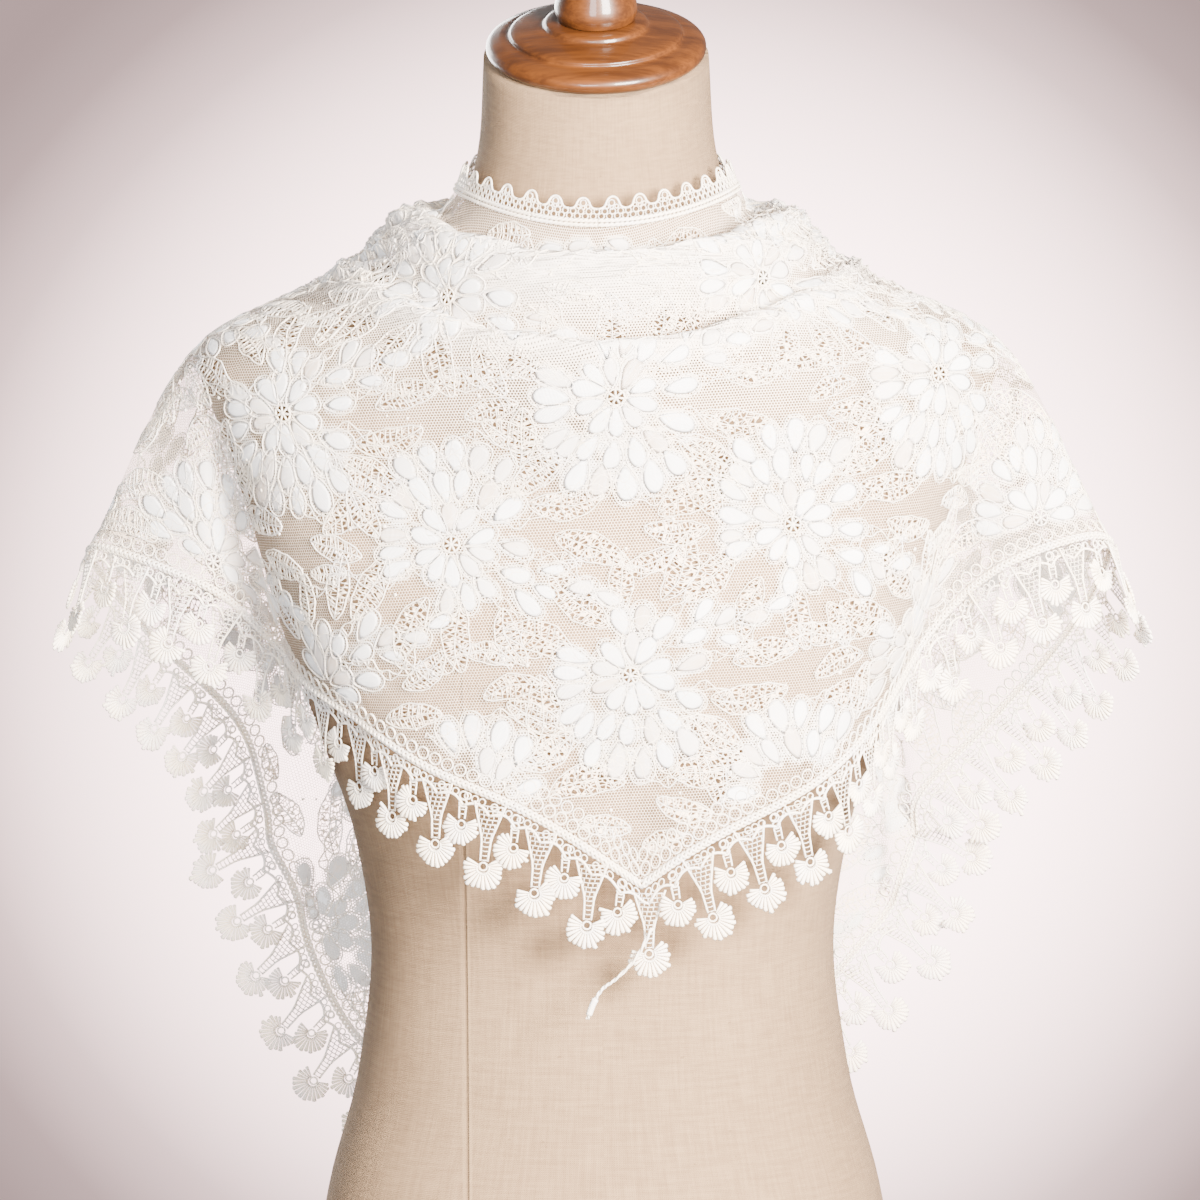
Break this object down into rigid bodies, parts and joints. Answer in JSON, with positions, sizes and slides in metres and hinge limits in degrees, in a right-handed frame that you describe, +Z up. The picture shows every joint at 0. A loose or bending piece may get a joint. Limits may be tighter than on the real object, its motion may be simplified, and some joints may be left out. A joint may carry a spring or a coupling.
{
  "type": "lace mantilla veil on a limbless dress form",
  "caption": "White floral lace mantilla veil with a fan-drop border, worn point to the front with cowl folds on a linen dress form with a turned wooden neck cap.",
  "frame": {"origin": "centre of the dress form's flat underside", "axes": "+X to the viewer's right, +Y from the front to the back, +Z up; the form's front faces -Y"},
  "size_m": [0.5514, 0.2424, 0.7653],
  "materials": {
    "lace": "soft matte cotton lace",
    "linen": "matte woven linen",
    "varnished_wood": "glossy varnish"
  },
  "bodies": {
    "root": {"form_torso": "linen", "neck_cap": "varnished_wood", "neck_finial": "varnished_wood", "veil_front": "lace", "veil_left_wing": "lace", "veil_right_wing": "lace", "veil_left_back": "lace", "veil_right_back": "lace", "neck_edging": "lace", "back_edging_left": "lace", "back_edging_right": "lace", "border_front_left": "lace", "border_front_right": "lace", "border_back_left": "lace", "border_back_right": "lace"}
  },
  "joints": []
}
